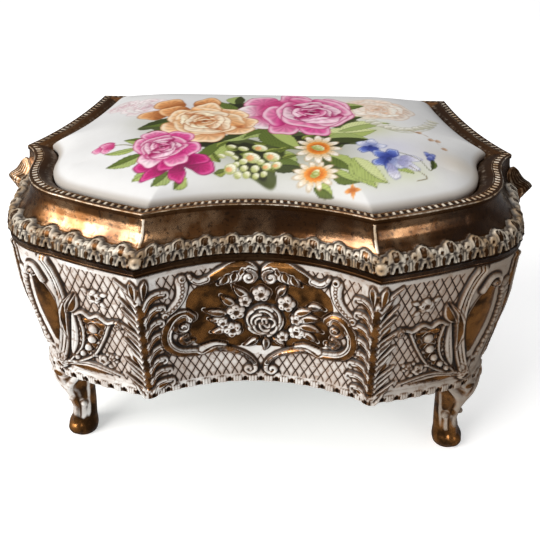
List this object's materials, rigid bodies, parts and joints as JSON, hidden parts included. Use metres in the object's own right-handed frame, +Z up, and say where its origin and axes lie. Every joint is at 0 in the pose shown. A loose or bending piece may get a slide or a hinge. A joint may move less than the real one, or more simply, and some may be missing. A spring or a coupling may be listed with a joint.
{
  "type": "trinket box",
  "caption": "Footed serpentine trinket box in cast metal with a hinged lid, a domed porcelain plaque and a padded velvet lining.",
  "frame": {"origin": "middle of the box's footprint, at the level the feet stand on", "axes": "+X along the width, front faces -Y, +Z up"},
  "size_m": [0.1376, 0.0847, 0.0849],
  "materials": {
    "body_casting": "white patina rubbed over bronzed cast metal, darker in the hollows",
    "foot_casting": "rubbed white patina over bronzed cast metal",
    "gilt_frame": "aged gilt, polished in the cove and dark in the hollows",
    "hinge_brass": "plain worn brass",
    "porcelain": "glossy white glaze with painted flowers",
    "velvet": "short-pile red velvet",
    "felt": "dark green felt",
    "bedding": "thin felt pad",
    "card": "grey-brown board",
    "plate_steel": "bronzed sheet metal",
    "steel": "plain steel"
  },
  "bodies": {
    "box": {"body_shell": "body_casting", "base_plate": "plate_steel", "base_felt": "felt", "foot_front_left": "foot_casting", "foot_front_right": "foot_casting", "foot_rear_left": "foot_casting", "foot_rear_right": "foot_casting", "foot_screws": "steel", "floor_board": "card", "floor_pad": "velvet", "lining_front": "velvet", "lining_front_left": "velvet", "lining_front_right": "velvet", "lining_side_left": "velvet", "lining_side_right": "velvet", "lining_back": "velvet", "hinge_body_leaf": "hinge_brass", "hinge_pin": "steel"},
    "lid": {"hinge_lid_leaf": "hinge_brass", "lid_frame": "gilt_frame", "side_crest_left": "gilt_frame", "side_crest_right": "gilt_frame", "porcelain_plaque": "porcelain", "plaque_bedding": "bedding", "lid_backing_plate": "plate_steel", "plaque_tabs": "hinge_brass", "lid_lining": "velvet"}
  },
  "joints": [
    {"name": "lid_hinge", "type": "hinge", "parent": "box", "child": "lid", "pos_m": [0, 0.04085, 0.0645], "axis": [-1, 0, 0], "range_deg": [0, 100]}
  ]
}
